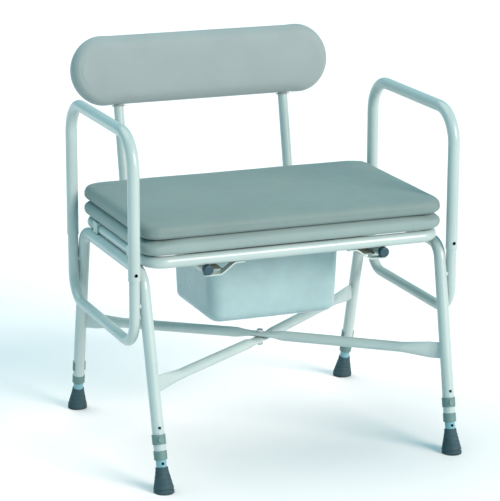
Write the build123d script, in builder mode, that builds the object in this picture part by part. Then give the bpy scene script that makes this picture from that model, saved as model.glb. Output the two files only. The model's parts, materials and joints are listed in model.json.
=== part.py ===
"""Extra-wide commode chair: steel tube frame, lift-off arms, adjustable legs, padded seat and lid, sliding pan.

Millimetres. X is to the sitter's left, the front is -Y and +Z is up. The origin is on the floor, under the
middle of the whole chair. "left" and "right" are the sitter's.
"""
import os
from math import cos, radians, sin, sqrt, tan

from build123d import *

os.makedirs("parts", exist_ok=True)

# ---------------------------------------------------------------- driving dimensions
# Steel tube
TUBE_R = 25.4 / 2  # legs, seat frame and upper arms
THIN_R = 22.2 / 2  # arm loops, back posts, braces and inner legs
WALL = 1.5
SLEEVE_GAP = 0.08  # radial gap of a tube that slides over another
WELD_GAP = 0.05  # between round surfaces that are welded where they touch

# Where the chair's middle lines are
MID_Y = -43.74  # middle of the four feet, in front of the origin by half of what the backrest overhangs
ARM_X = 359.0  # plane of each arm
POST_X = 199.0  # plane of each pan rail and back post

# Side frames
FOOT_Y = 291.4  # foot's distance in front of or behind the middle of the feet
SPLAY = 12.87  # degrees that each leg slopes fore or aft
LEAN = 1.0  # degrees that each side frame leans in towards its feet
RAIL_H = 440.0  # side rail's height, along the lean
LEG_BEND = 40.0

# Arms
ARM_HALF = 205.6  # from the middle of the feet to each arm post
ARM_TOP = 728.1
ARM_BEND = 72.0
LOOP_BEND = 60.0
LOOP_BOTTOM = 289.0
SLEEVE_END = 430.0  # lower end of the upper arm
SPIGOT_TOP = 550.0  # upper end of the arm loop, inside the upper arm
BUTTON_Z = 444.0
BUTTON_R = 3.5
BUTTON_HOLE_R = 3.6

# Seat frame
SEAT_X = 323.0  # centre line of its side tubes
SEAT_HALF_Y = 201.0  # centre line of its front and rear tubes
SEAT_BEND = 35.0

# Pads
PAD_W = 686.0
PAD_FRONT = 219.0  # pad's front edge, ahead of the middle of the feet
PAD_REAR = 218.0
PAD_T = 33.5
PAD_CORNER = 45.0
PAD_EDGE = 15.0
PAD_GAP = 0.5  # between the closed lid and the toilet seat
BOARD_T = 5.0
BOARD_INSET = 16.0
POCKET_GAP = 0.2  # between a board and the pad that wraps it
APERTURE_W = 230.0
APERTURE_L = 270.0

# Backrest
RAKE = 11.6
POST_BEND = 70.0
POST_REF_Y = 322.6  # where a post's axis is at POST_REF_Z, behind the middle of the feet
POST_REF_Z = 500.0
BACK_CENTRE_Z = 754.0
POST_TOP_Z = 799.0
BACK_W = 620.0
BACK_H = 162.0
BACK_T = 50.0
BACK_REAR = 14.0  # the pad's back face, behind the posts' axes
BACK_EDGE = 20.0

# Legs, measured up the leg's axis from the floor
FERRULE_H = 52.0
FERRULE_BASE_R = 21.6
FERRULE_TOP_R = 12.9
WASHER_S = 5.0
INNER_START = 7.0
TUBE_END = 75.0
BUSH_START = 67.0
BUSH_END = 86.0
BUSH_R = 13.9
CLIP_S = 109.5
CLIP_H = 20.0
CLIP_T = 1.6
HOLE_PITCH = 25.0
HOLE_R = 3.2
HOLES_BELOW = 2  # holes in the inner leg below the one that the pin is in
HOLES_ABOVE = 5
VENT_S = 133.0

# Pan and what carries it
PAN_W = 305.0
PAN_L = 250.0
PAN_MID_Y = 30.0
PAN_DEPTH = 154.0
PAN_CORNER = 34.0
PAN_DRAFT = 2.5
PAN_WALL = 2.5
PAN_FOOT_R = 20.0
RIM_W = 350.0
RIM_L = 276.0
RIM_T = 3.0
RUNNER_T = 2.0

# Cross brace
BRACE_Z = 215.0  # where the two tubes cross
BRACE_FRONT_Z = 214.0
BRACE_REAR_Z = 222.0
BRACE_PLATE_T = 5.0
BRACE_PLATE_H = 36.0

# ---------------------------------------------------------------- derived places
SIDE = {"left": 1, "right": -1}
END = {"front": -1, "rear": 1}

# The arm loop touches the leg where both are ARM_HALF from the middle of the feet.
TOUCH_H = (FOOT_Y - ARM_HALF) / tan(radians(SPLAY))
LEG_X_AT_TOUCH = ARM_X - TUBE_R - THIN_R - WELD_GAP
FOOT_X = LEG_X_AT_TOUCH - TOUCH_H * sin(radians(LEAN))
CORNER_Y = FOOT_Y - RAIL_H * tan(radians(SPLAY))
RAIL_X = FOOT_X + RAIL_H * sin(radians(LEAN))
RAIL_Z = RAIL_H * cos(radians(LEAN))

SEAT_Z = RAIL_Z + sqrt((2 * TUBE_R + WELD_GAP) ** 2 - (RAIL_X - SEAT_X) ** 2)  # lies on the side rails
SEAT_TOP = SEAT_Z + TUBE_R
POST_RAIL_Z = SEAT_Z - TUBE_R - THIN_R - WELD_GAP

LIFT_GAP = 0.3
CLIP_TOP_T = 2.5
SEAT_BOARD_Z = SEAT_TOP + LIFT_GAP + CLIP_TOP_T
LID_Z = SEAT_BOARD_Z + PAD_T + PAD_GAP
PAD_L = PAD_FRONT + PAD_REAR
PAD_MID_Y = MID_Y + (PAD_REAR - PAD_FRONT) / 2

RAKE_RAD = radians(RAKE)


def export(name, piece):
    """Label a finished piece and write it."""
    piece.part.label = name
    export_step(piece.part, f"parts/{name}.step")


def side_plane(side):
    """Leaning plane of a side frame: local x is rearwards, local y is up, origin between the feet."""
    lean = radians(LEAN)
    return Plane(
        origin=(side * FOOT_X, MID_Y, 0),
        x_dir=(0, 1, 0),
        z_dir=(cos(lean), 0, -side * sin(lean)),
    )


def leg_plane(side, end, up=0.0):
    """Plane square to a leg's axis, at a distance up it: local x is the leg's outward face, fore or aft."""
    frame = side_plane(side)
    splay = radians(SPLAY)
    axis = frame.y_dir * cos(splay) - frame.x_dir * (end * sin(splay))
    outward = frame.x_dir * (end * cos(splay)) + frame.y_dir * sin(splay)
    foot = frame.from_local_coords((end * FOOT_Y, 0, 0))
    return Plane(origin=foot + axis * up, x_dir=outward, z_dir=axis)


def upright(x, y=0.0):
    """Vertical plane fore and aft at a given x: local x is rearwards from the feet's middle, local y is up."""
    return Plane(origin=(x, MID_Y + y, 0), x_dir=(0, 1, 0), z_dir=(1, 0, 0))


def tube(path, radius, wall=WALL):
    """Sweep a tube's ring along a path inside the current part."""
    start = Plane(origin=path @ 0, z_dir=path % 0)
    with BuildSketch(start) as ring:
        Circle(radius)
        Circle(radius - wall, mode=Mode.SUBTRACT)
    sweep(sections=ring.sketch, path=path)


# ---------------------------------------------------------------- side frames
for side_name, side in SIDE.items():
    with BuildPart() as side_frame:
        leg_end = TUBE_END
        low_y = FOOT_Y - leg_end * sin(radians(SPLAY))
        low_z = leg_end * cos(radians(SPLAY))
        with BuildLine(side_plane(side)) as leg_path:
            FilletPolyline(
                (-low_y, low_z),
                (-CORNER_Y, RAIL_H),
                (CORNER_Y, RAIL_H),
                (low_y, low_z),
                radius=LEG_BEND,
            )
        tube(leg_path.wire(), TUBE_R)
        for end in END.values():
            for station in (CLIP_S, VENT_S):
                hole = leg_plane(side, end, station)
                with BuildSketch(Plane(origin=hole.origin, z_dir=hole.x_dir)):
                    Circle(BUTTON_HOLE_R)
                extrude(amount=2 * TUBE_R, mode=Mode.SUBTRACT)
    export(f"side_frame_{side_name}", side_frame)

# ---------------------------------------------------------------- seat frame
with BuildSketch(Plane(origin=(0, MID_Y, SEAT_Z))) as seat_outline:
    RectangleRounded(2 * SEAT_X, 2 * SEAT_HALF_Y, SEAT_BEND)
with BuildPart() as seat_frame:
    tube(seat_outline.sketch.wires()[0], TUBE_R)
export("seat_frame", seat_frame)

# ---------------------------------------------------------------- arm loops and upper arms
for side_name, side in SIDE.items():
    arm_plane = upright(side * ARM_X)
    with BuildPart() as arm_loop:
        with BuildLine(arm_plane) as loop_path:
            FilletPolyline(
                (-ARM_HALF, SPIGOT_TOP),
                (-ARM_HALF, LOOP_BOTTOM),
                (ARM_HALF, LOOP_BOTTOM),
                (ARM_HALF, SPIGOT_TOP),
                radius=LOOP_BEND,
            )
        # Weld bead across to each leg, under the loop's tube
        bead_r = 6.0
        bead_root = 4.0
        bead_reach = 3.0
        for end in END.values():
            bead_x = side * (ARM_X - THIN_R + bead_root)
            with BuildSketch(Plane(origin=(bead_x, MID_Y + end * ARM_HALF, TOUCH_H), z_dir=(-side, 0, 0))):
                Circle(bead_r)
            extrude(amount=bead_root + bead_reach)
            leg = leg_plane(side, end)
            with BuildSketch(leg):
                Circle(TUBE_R + WELD_GAP)
            extrude(amount=RAIL_H, mode=Mode.SUBTRACT)
        tube(loop_path.wire(), THIN_R)
        with BuildSketch(Plane(origin=(side * ARM_X, MID_Y - ARM_HALF, BUTTON_Z), z_dir=(0, -1, 0))):
            Circle(BUTTON_HOLE_R)
        extrude(amount=2 * THIN_R, mode=Mode.SUBTRACT)
        # The bead's root would otherwise fill the bore
        for end in END.values():
            with BuildSketch(Plane(origin=(side * ARM_X, MID_Y + end * ARM_HALF, LOOP_BOTTOM + LOOP_BEND))):
                Circle(THIN_R - WALL)
            extrude(amount=SPIGOT_TOP - LOOP_BOTTOM - LOOP_BEND, mode=Mode.SUBTRACT)
    export(f"arm_loop_{side_name}", arm_loop)

    with BuildPart() as arm:
        with BuildLine(arm_plane) as arm_path:
            FilletPolyline(
                (-ARM_HALF, SLEEVE_END),
                (-ARM_HALF, ARM_TOP),
                (ARM_HALF, ARM_TOP),
                (ARM_HALF, SLEEVE_END),
                radius=ARM_BEND,
            )
        tube(arm_path.wire(), TUBE_R, TUBE_R - THIN_R - SLEEVE_GAP)
        with BuildSketch(Plane(origin=(side * ARM_X, MID_Y - ARM_HALF, BUTTON_Z), z_dir=(0, -1, 0))):
            Circle(BUTTON_HOLE_R)
        extrude(amount=2 * TUBE_R, mode=Mode.SUBTRACT)
    export(f"arm_{side_name}", arm)

    # Snap button: a domed pin on a flange that a leaf spring holds against the loop's wall
    flange_in = 6.4
    flange_t = 1.6
    flange_r = 4.8
    button_out = TUBE_R + 1.6
    button_edge = 1.2
    button_axis = Plane(origin=(side * ARM_X, MID_Y - ARM_HALF, BUTTON_Z), z_dir=(0, -1, 0))
    with BuildPart() as arm_button:
        with BuildSketch(button_axis.offset(flange_in)):
            Circle(flange_r)
        extrude(amount=flange_t)
        with BuildSketch(button_axis.offset(flange_in)):
            Circle(BUTTON_R)
        extrude(amount=button_out - flange_in)
        fillet(arm_button.faces().sort_by(Axis.Y)[0].edges(), radius=button_edge)
    export(f"arm_button_{side_name}", arm_button)

    leaf_t = 0.8
    leaf_w = 6.0
    leaf_low = BUTTON_Z - 8.0
    leaf_knee = BUTTON_Z + 8.0
    leaf_top = BUTTON_Z + 46.0
    leaf_lean = 3.0
    leaf_bend = 1.5
    leaf_front = flange_in - WELD_GAP - leaf_t / 2
    leaf_rear = THIN_R - WALL - 1.0  # clear of the bore
    with BuildPart() as arm_spring:
        with BuildSketch(upright(side * ARM_X - leaf_w / 2)):
            with BuildLine():
                leaf = FilletPolyline(
                    (-ARM_HALF - leaf_front, leaf_low),
                    (-ARM_HALF - leaf_front, leaf_knee),
                    (-ARM_HALF, leaf_top),
                    (-ARM_HALF + leaf_rear - leaf_lean, leaf_knee),
                    (-ARM_HALF + leaf_rear, leaf_low),
                    radius=leaf_bend,
                )
                offset(leaf, amount=leaf_t / 2)
            make_face()
        extrude(amount=leaf_w)
    export(f"arm_spring_{side_name}", arm_spring)


# ---------------------------------------------------------------- cross brace
# Each tube runs from a front leg to the opposite rear leg. Its middle is crushed to half its height, so that
# one lies over the other, and its ends are crushed to upright plates that meet the legs.
MID_T = THIN_R - 0.1
MID_GAP = 0.1  # from each crushed middle to the level where they meet
MID_W = 28.0
MID_FLAT = 22.0
MID_TAPER = 30.0
PLATE_TAPER = 60.0
PLATE_LEN = 35.0
BOLT_R = 4.0
BOLT_HOLE_R = 4.1
BOLT_AF = 13.0
BOLT_HEAD_H = 5.3
NUT_H = 6.5
BOLT_PROUD = 2.0  # of the nut
THREAD_GAP = 0.05
BRACE_END_Z = {"front": BRACE_FRONT_Z, "rear": BRACE_REAR_Z}
BRACES = {"cross_brace_upper": (-1, 1), "cross_brace_lower": (1, -1)}


def brace_plane(start, heading, distance):
    """Plane square to a brace tube at a distance from its start: local x is up, local y is across it."""
    across = Vector(0, 0, 1).cross(heading).normalized()
    return Plane(origin=start + heading * distance, x_dir=heading.cross(across), z_dir=heading)


for brace_name, (toward, over) in BRACES.items():
    centre = Vector(0, MID_Y, BRACE_Z + over * (MID_T / 2 + MID_GAP))
    with BuildPart() as brace:
        for end_name, end in END.items():
            station = BRACE_END_Z[end_name] / cos(radians(SPLAY)) / cos(radians(LEAN))
            leg = leg_plane(end * toward, end)
            reach = leg.origin + leg.z_dir * station - centre
            heading = reach.normalized()
            level = Vector(reach.X, reach.Y, 0).normalized()
            plate_start = reach.length - PLATE_LEN
            round_end = plate_start - PLATE_TAPER
            round_start = MID_FLAT + MID_TAPER
            with BuildSketch(brace_plane(centre, level, 0)):
                Ellipse(MID_T / 2, MID_W / 2)
            extrude(amount=MID_FLAT)
            with BuildSketch(brace_plane(centre, level, MID_FLAT)):
                Ellipse(MID_T / 2, MID_W / 2)
            with BuildSketch(brace_plane(centre, heading, round_start)):
                Circle(THIN_R)
            loft()
            with BuildSketch(brace_plane(centre, heading, round_start)):
                Circle(THIN_R)
                Circle(THIN_R - WALL, mode=Mode.SUBTRACT)
            extrude(amount=round_end - round_start)
            with BuildSketch(brace_plane(centre, heading, round_end)):
                Circle(THIN_R)
            with BuildSketch(brace_plane(centre, heading, plate_start)):
                Ellipse(BRACE_PLATE_H / 2, BRACE_PLATE_T / 2)
            loft()
            with BuildSketch(brace_plane(centre, heading, plate_start)):
                Ellipse(BRACE_PLATE_H / 2, BRACE_PLATE_T / 2)
            extrude(amount=PLATE_LEN)
            with BuildSketch(leg_plane(end * toward, end, station / 2)):
                Circle(TUBE_R + WELD_GAP)
            extrude(amount=station, mode=Mode.SUBTRACT)
        with BuildSketch(Plane(origin=centre - Vector(0, 0, 2 * THIN_R))):
            Circle(BOLT_HOLE_R)
        extrude(amount=4 * THIN_R, mode=Mode.SUBTRACT)
    export(brace_name, brace)

STACK_HALF = MID_T + MID_GAP  # half the height of the two crushed middles
with BuildPart() as brace_bolt:
    with BuildSketch(Plane(origin=(0, MID_Y, BRACE_Z + STACK_HALF))):
        RegularPolygon(BOLT_AF / 2, 6, major_radius=False)
    extrude(amount=BOLT_HEAD_H)
    chamfer(brace_bolt.faces().sort_by(Axis.Z)[-1].edges(), length=0.8)
    with BuildSketch(Plane(origin=(0, MID_Y, BRACE_Z - STACK_HALF - NUT_H - BOLT_PROUD))):
        Circle(BOLT_R)
    extrude(amount=2 * STACK_HALF + NUT_H + BOLT_PROUD)
export("brace_bolt", brace_bolt)

with BuildPart() as brace_nut:
    with BuildSketch(Plane(origin=(0, MID_Y, BRACE_Z - STACK_HALF - NUT_H))):
        RegularPolygon(BOLT_AF / 2, 6, major_radius=False)
        Circle(BOLT_R + THREAD_GAP, mode=Mode.SUBTRACT)
    extrude(amount=NUT_H)
export("brace_nut", brace_nut)

# ---------------------------------------------------------------- pan rails and back posts
POST_FRONT = SEAT_HALF_Y - 1.0
CAP_R = THIN_R - 0.15
CAP_STEM_R = THIN_R - WALL - 0.05
CAP_STEM = 15.0
FRONT_CAP_T = 12.0
FRONT_CAP_EDGE = 3.0
TOP_CAP_T = 3.0
TOP_CAP_EDGE = 1.0


def post_y(height):
    """How far behind the middle of the feet a post's axis is."""
    return POST_REF_Y + (height - POST_REF_Z) * tan(RAKE_RAD)


# Through the posts' axes: local x is X, local y is up the posts, and local z points at the sitter.
post_plane = Plane(
    origin=(0, MID_Y + post_y(BACK_CENTRE_Z), BACK_CENTRE_Z),
    x_dir=(1, 0, 0),
    z_dir=(0, -cos(RAKE_RAD), sin(RAKE_RAD)),
)

for side_name, side in SIDE.items():
    with BuildPart() as back_post:
        with BuildLine(upright(side * POST_X)) as post_path:
            FilletPolyline(
                (-POST_FRONT, POST_RAIL_Z),
                (post_y(POST_RAIL_Z), POST_RAIL_Z),
                (post_y(POST_TOP_Z), POST_TOP_Z),
                radius=POST_BEND,
            )
        tube(post_path.wire(), THIN_R)
    export(f"back_post_{side_name}", back_post)

with BuildPart() as rail_caps:
    for side in SIDE.values():
        tube_end = Plane(origin=(side * POST_X, MID_Y - POST_FRONT, POST_RAIL_Z), z_dir=(0, -1, 0))
        with BuildSketch(tube_end):
            Circle(CAP_R)
        extrude(amount=FRONT_CAP_T)
        with BuildSketch(tube_end):
            Circle(CAP_STEM_R)
        extrude(amount=-CAP_STEM)
    fillet(rail_caps.faces().sort_by(Axis.Y)[:2].edges(), radius=FRONT_CAP_EDGE)
export("rail_caps", rail_caps)

with BuildPart() as post_caps:
    for side in SIDE.values():
        post_end = Plane(
            origin=(side * POST_X, MID_Y + post_y(POST_TOP_Z), POST_TOP_Z),
            z_dir=(0, sin(RAKE_RAD), cos(RAKE_RAD)),
        )
        with BuildSketch(post_end):
            Circle(CAP_R)
        extrude(amount=TOP_CAP_T)
        with BuildSketch(post_end):
            Circle(CAP_STEM_R)
        extrude(amount=-CAP_STEM)
    fillet(post_caps.faces().sort_by(Axis.Z)[-2:].edges(), radius=TOP_CAP_EDGE)
export("post_caps", post_caps)

# ---------------------------------------------------------------- backrest
# A stiffening board and two closed-top sleeves inside the pad. The sleeves slip down over the posts.
SLEEVE_BORE_R = THIN_R + SLEEVE_GAP
SLEEVE_R = SLEEVE_BORE_R + WALL
SLEEVE_LOW = -BACK_H / 2 + 4.0  # up the posts, from the middle of the pad
SLEEVE_HIGH = (POST_TOP_Z - BACK_CENTRE_Z) / cos(RAKE_RAD) + TOP_CAP_T + LIFT_GAP
SLEEVE_LID = 2.0
BACK_BOARD_T = 6.0
BACK_BOARD_W = 560.0
BACK_BOARD_H = 104.0
BACK_BOARD_N = SLEEVE_R + WELD_GAP  # the board's back, ahead of the posts' axes


def up_post(side, distance):
    """Plane square to a post, at a distance up it from the middle of the pad."""
    origin = post_plane.from_local_coords((side * POST_X, distance, 0))
    return Plane(origin=origin, x_dir=(1, 0, 0), z_dir=post_plane.y_dir)


with BuildPart() as backrest_sleeves:
    for side in SIDE.values():
        with BuildSketch(up_post(side, SLEEVE_LOW)):
            Circle(SLEEVE_R)
            Circle(SLEEVE_BORE_R, mode=Mode.SUBTRACT)
        extrude(amount=SLEEVE_HIGH - SLEEVE_LOW)
        with BuildSketch(up_post(side, SLEEVE_HIGH)):
            Circle(SLEEVE_R)
        extrude(amount=SLEEVE_LID)
export("backrest_sleeves", backrest_sleeves)

with BuildPart() as backrest_board:
    with BuildSketch(post_plane.offset(BACK_BOARD_N)):
        SlotOverall(BACK_BOARD_W, BACK_BOARD_H)
    extrude(amount=BACK_BOARD_T)
export("backrest_board", backrest_board)

with BuildPart() as backrest_pad:
    with BuildSketch(post_plane.offset(-BACK_REAR)):
        SlotOverall(BACK_W, BACK_H)
    extrude(amount=BACK_T)
    broad_faces = backrest_pad.faces().sort_by(SortBy.AREA)[-2:]
    fillet(broad_faces.edges(), radius=BACK_EDGE)
    with BuildSketch(post_plane.offset(BACK_BOARD_N - POCKET_GAP)):
        SlotOverall(BACK_BOARD_W + 2 * POCKET_GAP, BACK_BOARD_H + 2 * POCKET_GAP)
    extrude(amount=BACK_BOARD_T + 2 * POCKET_GAP, mode=Mode.SUBTRACT)
    for side in SIDE.values():
        with BuildSketch(up_post(side, -BACK_H)):
            Circle(SLEEVE_R + POCKET_GAP)
        extrude(amount=BACK_H + SLEEVE_HIGH + SLEEVE_LID + POCKET_GAP, mode=Mode.SUBTRACT)
export("backrest_pad", backrest_pad)

# ---------------------------------------------------------------- pan runners and their front brackets
RUNNER_FRONT = 186.0
RUNNER_REAR = 200.0
LEDGE_Z = 429.6
LEDGE_IN = 158.0
RUNNER_TOP = 445.0
STRAP_T = 3.0
STRAP_W = 18.0
STRAP_FRONT = 206.0
STRAP_BEND = 16.0
STRAP_OUT = 204.0  # outer end of its weld under the pan rail
STRAP_OUT_BEND = 168.0
STRAP_IN_BEND = 138.0
STRAP_IN = 118.0  # inner end of its weld under the seat frame's front tube
RIM_LIFT = 0.4  # the rim's running gap over the ledges

for side_name, side in SIDE.items():
    wall_x = POST_X - THIN_R - WELD_GAP
    with BuildPart() as runner:
        with BuildSketch(Plane(origin=(0, MID_Y - RUNNER_FRONT, 0), x_dir=(1, 0, 0), z_dir=(0, -1, 0))):
            with BuildLine():
                Polyline(
                    (side * LEDGE_IN, LEDGE_Z),
                    (side * wall_x, LEDGE_Z),
                    (side * wall_x, RUNNER_TOP),
                    (side * (wall_x - RUNNER_T), RUNNER_TOP),
                    (side * (wall_x - RUNNER_T), LEDGE_Z + RUNNER_T),
                    (side * LEDGE_IN, LEDGE_Z + RUNNER_T),
                    close=True,
                )
            make_face()
        extrude(amount=-(RUNNER_FRONT + RUNNER_REAR))
    export(f"runner_{side_name}", runner)

    under_tube = POST_RAIL_Z - THIN_R - WELD_GAP - STRAP_T / 2
    under_rail = SEAT_Z - TUBE_R - WELD_GAP - STRAP_T / 2
    with BuildPart() as bracket:
        with BuildSketch(Plane(origin=(0, MID_Y - STRAP_FRONT, 0), x_dir=(1, 0, 0), z_dir=(0, -1, 0))):
            with BuildLine():
                strap_line = FilletPolyline(
                    (side * STRAP_OUT, under_tube),
                    (side * STRAP_OUT_BEND, under_tube),
                    (side * STRAP_IN_BEND, under_rail),
                    (side * STRAP_IN, under_rail),
                    radius=STRAP_BEND,
                )
                offset(strap_line, amount=STRAP_T / 2)
            make_face()
        extrude(amount=-STRAP_W)
    export(f"runner_bracket_{side_name}", bracket)

# ---------------------------------------------------------------- pan
pan_y = MID_Y + PAN_MID_Y
rim_z = LEDGE_Z + RUNNER_T + RIM_LIFT
with BuildPart() as pan_hollow:
    with BuildSketch(Plane(origin=(0, pan_y, rim_z + RIM_T))):
        RectangleRounded(PAN_W - 2 * PAN_WALL, PAN_L - 2 * PAN_WALL, PAN_CORNER - PAN_WALL)
    extrude(amount=-(PAN_DEPTH - PAN_WALL), taper=PAN_DRAFT)
    fillet(pan_hollow.faces().sort_by(Axis.Z)[0].edges(), radius=PAN_FOOT_R - PAN_WALL)

with BuildPart() as pan:
    with BuildSketch(Plane(origin=(0, pan_y, rim_z + RIM_T))):
        RectangleRounded(PAN_W, PAN_L, PAN_CORNER)
    extrude(amount=-PAN_DEPTH, taper=PAN_DRAFT)
    fillet(pan.faces().sort_by(Axis.Z)[0].edges(), radius=PAN_FOOT_R)
    with BuildSketch(Plane(origin=(0, pan_y, rim_z))):
        RectangleRounded(RIM_W, RIM_L, PAN_CORNER)
    extrude(amount=RIM_T)
    add(pan_hollow.part, mode=Mode.SUBTRACT)
export("pan", pan)

# ---------------------------------------------------------------- toilet seat
BOARD_W = PAD_W - 2 * BOARD_INSET
BOARD_L = PAD_L - 2 * BOARD_INSET
BOARD_CORNER = PAD_CORNER - BOARD_INSET
APERTURE_WRAP = 12.0  # the pad's cover round the aperture's edge
seat_bottom = Plane(origin=(0, PAD_MID_Y, SEAT_BOARD_Z))
aperture_plane = Plane(origin=(0, pan_y, SEAT_BOARD_Z))

CLIP_Y = 110.0
CLIP_LEN = 26.0
CLIP_WALL = 3.0
CLIP_LEGS = 8.0  # how far its legs reach below the tube's middle
CLIP_SCREW_IN = 26.0
CLIP_SCREW_R = 2.0
CLIP_HEAD_R = 3.8
CLIP_HEAD_H = 2.2
CLIP_SCREW_SHORT = 0.5  # its tip stops short of the board's upper face
CLIP_FLANGE = 36.0  # from the tube's middle to the flange's inner edge
CLIP_SCREW_POINTS = [
    (side * (SEAT_X - CLIP_SCREW_IN), way * CLIP_Y) for side in SIDE.values() for way in END.values()
]
clip_plane = Plane(origin=(0, MID_Y, SEAT_BOARD_Z))

with BuildPart() as toilet_seat_board:
    with BuildSketch(seat_bottom):
        RectangleRounded(BOARD_W, BOARD_L, BOARD_CORNER)
    extrude(amount=BOARD_T)
    with BuildSketch(aperture_plane):
        Ellipse(APERTURE_W / 2 + APERTURE_WRAP, APERTURE_L / 2 + APERTURE_WRAP)
    extrude(amount=BOARD_T, mode=Mode.SUBTRACT)
    with BuildSketch(clip_plane):
        with Locations(CLIP_SCREW_POINTS):
            Circle(CLIP_SCREW_R + THREAD_GAP)
    extrude(amount=BOARD_T, mode=Mode.SUBTRACT)
export("toilet_seat_board", toilet_seat_board)

with BuildPart() as toilet_seat_pad:
    with BuildSketch(seat_bottom):
        RectangleRounded(PAD_W, PAD_L, PAD_CORNER)
    extrude(amount=PAD_T)
    fillet(toilet_seat_pad.faces().filter_by(Axis.Z).edges(), radius=PAD_EDGE)
    with BuildSketch(aperture_plane):
        Ellipse(APERTURE_W / 2, APERTURE_L / 2)
    extrude(amount=PAD_T, mode=Mode.SUBTRACT)
    with BuildSketch(seat_bottom) as pocket:
        RectangleRounded(BOARD_W + 2 * POCKET_GAP, BOARD_L + 2 * POCKET_GAP, BOARD_CORNER + POCKET_GAP)
    with BuildSketch(aperture_plane) as kept:
        Ellipse(APERTURE_W / 2 + APERTURE_WRAP - POCKET_GAP, APERTURE_L / 2 + APERTURE_WRAP - POCKET_GAP)
    extrude(pocket.sketch - kept.sketch, amount=BOARD_T + POCKET_GAP, mode=Mode.SUBTRACT)
export("toilet_seat_pad", toilet_seat_pad)

with BuildPart() as seat_clips:
    clip_half = TUBE_R + LIFT_GAP + CLIP_WALL
    for side in SIDE.values():
        for way in END.values():
            clip_front = MID_Y + way * CLIP_Y - CLIP_LEN / 2
            clip_end = Plane(origin=(side * SEAT_X, clip_front, SEAT_Z), x_dir=(side, 0, 0), z_dir=(0, -side, 0))
            with BuildSketch(clip_end):
                with BuildLine():
                    Polyline(
                        (clip_half, -CLIP_LEGS),
                        (clip_half, SEAT_BOARD_Z - SEAT_Z),
                        (-CLIP_FLANGE, SEAT_BOARD_Z - SEAT_Z),
                        (-CLIP_FLANGE, SEAT_BOARD_Z - SEAT_Z - CLIP_TOP_T),
                        (-clip_half, SEAT_BOARD_Z - SEAT_Z - CLIP_TOP_T),
                        (-clip_half, -CLIP_LEGS),
                        close=True,
                    )
                make_face()
                Circle(TUBE_R + LIFT_GAP, mode=Mode.SUBTRACT)
                with Locations((0, -CLIP_LEGS)):
                    Rectangle(2 * (TUBE_R + LIFT_GAP), 2 * CLIP_LEGS, mode=Mode.SUBTRACT)
            extrude(amount=-side * CLIP_LEN)
    with BuildSketch(clip_plane):
        with Locations(CLIP_SCREW_POINTS):
            Circle(CLIP_SCREW_R + THREAD_GAP)
    extrude(amount=-CLIP_TOP_T, mode=Mode.SUBTRACT)
export("seat_clips", seat_clips)

with BuildPart() as seat_clip_screws:
    head_top = clip_plane.offset(-CLIP_TOP_T)
    with BuildSketch(head_top):
        with Locations(CLIP_SCREW_POINTS):
            Circle(CLIP_HEAD_R)
    extrude(amount=-CLIP_HEAD_H)
    with BuildSketch(head_top):
        with Locations(CLIP_SCREW_POINTS):
            Circle(CLIP_SCREW_R)
    extrude(amount=CLIP_TOP_T + BOARD_T - CLIP_SCREW_SHORT)
export("seat_clip_screws", seat_clip_screws)

# ---------------------------------------------------------------- lid
LOCATOR_H = 8.0
LOCATOR_GAP = 6.0
LOCATOR_WALL = 3.0
lid_bottom = Plane(origin=(0, PAD_MID_Y, LID_Z))

with BuildPart() as lid_board:
    with BuildSketch(lid_bottom):
        RectangleRounded(BOARD_W, BOARD_L, BOARD_CORNER)
    extrude(amount=BOARD_T)
export("lid_board", lid_board)

with BuildPart() as lid_pad:
    with BuildSketch(lid_bottom):
        RectangleRounded(PAD_W, PAD_L, PAD_CORNER)
    extrude(amount=PAD_T)
    fillet(lid_pad.faces().filter_by(Axis.Z).edges(), radius=PAD_EDGE)
    with BuildSketch(lid_bottom):
        RectangleRounded(BOARD_W + 2 * POCKET_GAP, BOARD_L + 2 * POCKET_GAP, BOARD_CORNER + POCKET_GAP)
    extrude(amount=BOARD_T + POCKET_GAP, mode=Mode.SUBTRACT)
export("lid_pad", lid_pad)

with BuildPart() as lid_locator:
    outer_x = APERTURE_W / 2 - LOCATOR_GAP
    outer_y = APERTURE_L / 2 - LOCATOR_GAP
    with BuildSketch(Plane(origin=(0, pan_y, LID_Z))):
        Ellipse(outer_x, outer_y)
        Ellipse(outer_x - LOCATOR_WALL, outer_y - LOCATOR_WALL, mode=Mode.SUBTRACT)
    extrude(amount=-LOCATOR_H)
export("lid_locator", lid_locator)

# ---------------------------------------------------------------- legs
FERRULE_BELOW = 7.0  # the blank reaches below the floor plane, where it is cut flat
FERRULE_BAND = 11.0
FERRULE_BORE_R = THIN_R + 0.05
FERRULE_LIP_W = 1.0
FERRULE_LIP_H = 2.0
FERRULE_FOOT_EDGE = 2.5
WASHER_T = 2.0
WASHER_GAP = 0.1
INNER_END = CLIP_S + HOLES_ABOVE * HOLE_PITCH + 22.0
BUSH_EDGE = 1.0
BUSH_TUBE_GAP = 0.05
BUSH_BORE_R = THIN_R + SLEEVE_GAP
CLIP_BORE_R = TUBE_R + 0.05
CLIP_WRAP = 230.0
BOSS_R = 6.0
BOSS_T = 1.6
PIN_R = 3.0
PIN_IN = 6.0  # the pin's tip, from the leg's axis

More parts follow.
